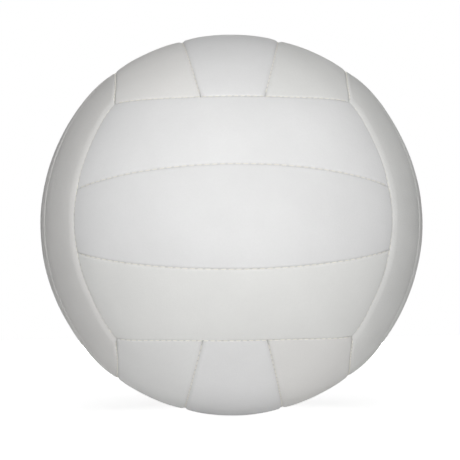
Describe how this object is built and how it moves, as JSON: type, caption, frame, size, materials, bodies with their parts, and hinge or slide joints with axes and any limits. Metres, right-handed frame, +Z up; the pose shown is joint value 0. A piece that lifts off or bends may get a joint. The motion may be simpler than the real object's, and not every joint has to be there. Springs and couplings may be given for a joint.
{
  "type": "volleyball",
  "caption": "Indoor volleyball with stitched laminated panels in groups of three around a rubber bladder, and a recessed inflation valve.",
  "frame": {"origin": "centre of the ball", "axes": "+Z up, -Y towards the viewer of the front group of panels, +Y out of the valve's needle channel"},
  "size_m": [0.21, 0.2099, 0.21],
  "materials": {
    "panel_skin": "satin",
    "panel_foam": "matte",
    "panel_lining": "matte",
    "thread": "matte",
    "bladder_rubber": "matte",
    "valve_rubber": "matte",
    "valve_core_rubber": "satin"
  },
  "bodies": {
    "root": {"skin_front_lower": "panel_skin", "skin_front_middle": "panel_skin", "skin_front_upper": "panel_skin", "skin_back_lower": "panel_skin", "skin_back_middle": "panel_skin", "skin_back_upper": "panel_skin", "skin_left_rear": "panel_skin", "skin_left_middle": "panel_skin", "skin_left_front": "panel_skin", "skin_right_front": "panel_skin", "skin_right_middle": "panel_skin", "skin_right_rear": "panel_skin", "skin_top_left": "panel_skin", "skin_top_middle": "panel_skin", "skin_top_right": "panel_skin", "skin_bottom_right": "panel_skin", "skin_bottom_middle": "panel_skin", "skin_bottom_left": "panel_skin", "foam_front_lower": "panel_foam", "foam_front_middle": "panel_foam", "foam_front_upper": "panel_foam", "foam_back_lower": "panel_foam", "foam_back_middle": "panel_foam", "foam_back_upper": "panel_foam", "foam_left_rear": "panel_foam", "foam_left_middle": "panel_foam", "foam_left_front": "panel_foam", "foam_right_front": "panel_foam", "foam_right_middle": "panel_foam", "foam_right_rear": "panel_foam", "foam_top_left": "panel_foam", "foam_top_middle": "panel_foam", "foam_top_right": "panel_foam", "foam_bottom_right": "panel_foam", "foam_bottom_middle": "panel_foam", "foam_bottom_left": "panel_foam", "lining_front_lower": "panel_lining", "lining_front_middle": "panel_lining", "lining_front_upper": "panel_lining", "lining_back_lower": "panel_lining", "lining_back_middle": "panel_lining", "lining_back_upper": "panel_lining", "lining_left_rear": "panel_lining", "lining_left_middle": "panel_lining", "lining_left_front": "panel_lining", "lining_right_front": "panel_lining", "lining_right_middle": "panel_lining", "lining_right_rear": "panel_lining", "lining_top_left": "panel_lining", "lining_top_middle": "panel_lining", "lining_top_right": "panel_lining", "lining_bottom_right": "panel_lining", "lining_bottom_middle": "panel_lining", "lining_bottom_left": "panel_lining", "seam_thread_strips": "thread", "seam_thread_groups": "thread", "bladder": "bladder_rubber", "valve_body": "valve_rubber", "valve_core": "valve_core_rubber"}
  },
  "joints": []
}
